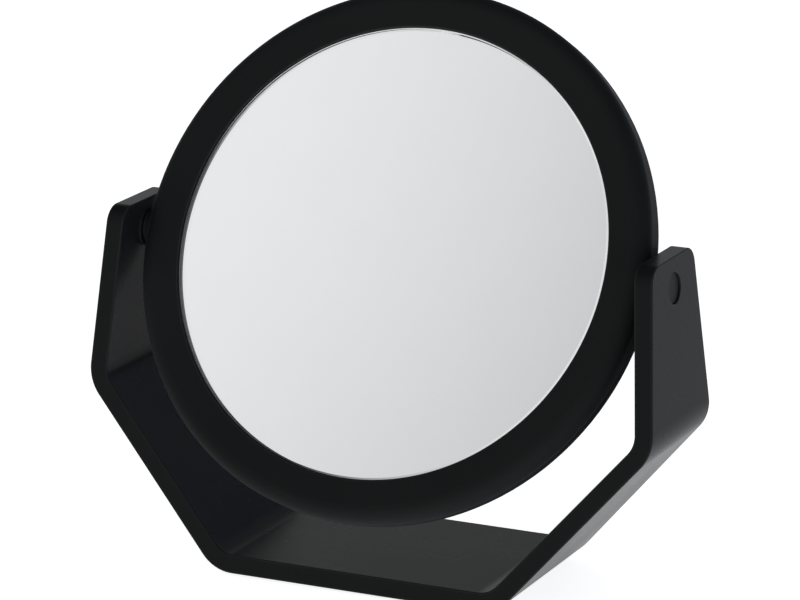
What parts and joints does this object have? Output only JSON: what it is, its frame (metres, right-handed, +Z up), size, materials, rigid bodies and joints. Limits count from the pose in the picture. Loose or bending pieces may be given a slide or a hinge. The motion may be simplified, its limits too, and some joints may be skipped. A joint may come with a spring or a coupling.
{
  "type": "tabletop shaving mirror",
  "caption": "Round double-sided shaving mirror, plain on one face and magnifying on the other, that turns over on two side pivots in a tapered, faceted band stand.",
  "frame": {"origin": "centre of the base at floor level, midway between the feet", "axes": "+X to the right along the pivot axis, +Y to the rear, +Z up; the plain mirror faces -Y and is stored leaning back 26.8 degrees"},
  "size_m": [0.2014, 0.0902, 0.1878],
  "materials": {
    "stand_black": "moulded plastic with a matt soft-touch coat",
    "frame_black": "moulded plastic with a matt soft-touch coat",
    "cap_black": "fine matt moulded plastic",
    "mirror": "silvered float glass with a polished arris",
    "foam_tape": "closed-cell foam tape",
    "foot_rubber": "matt dark rubber",
    "nylon": "natural nylon",
    "washer_black": "black acetal",
    "steel": "zinc-plated steel"
  },
  "bodies": {
    "stand": {"stand_band": "stand_black", "foot_front_left": "foot_rubber", "foot_front_right": "foot_rubber", "foot_rear_left": "foot_rubber", "foot_rear_right": "foot_rubber", "pivot_cap_left": "cap_black", "pivot_cap_right": "cap_black", "pivot_bush_left": "nylon", "pivot_bush_right": "nylon"},
    "mirror_head": {"front_frame": "frame_black", "rear_frame": "frame_black", "flat_mirror_glass": "mirror", "magnifying_mirror_glass": "mirror", "flat_mirror_tape": "foam_tape", "magnifying_mirror_tape": "foam_tape", "frame_screws": "steel", "friction_washer_left": "washer_black", "friction_washer_right": "washer_black", "spring_washer_left": "steel", "spring_washer_right": "steel", "pivot_screw_left": "steel", "pivot_screw_right": "steel", "pivot_nut_left": "steel", "pivot_nut_right": "steel"}
  },
  "joints": [
    {"name": "mirror_tilt", "type": "hinge", "parent": "stand", "child": "mirror_head", "pos_m": [0, 0, 0.1064], "axis": [1, 0, 0], "continuous": true}
  ]
}
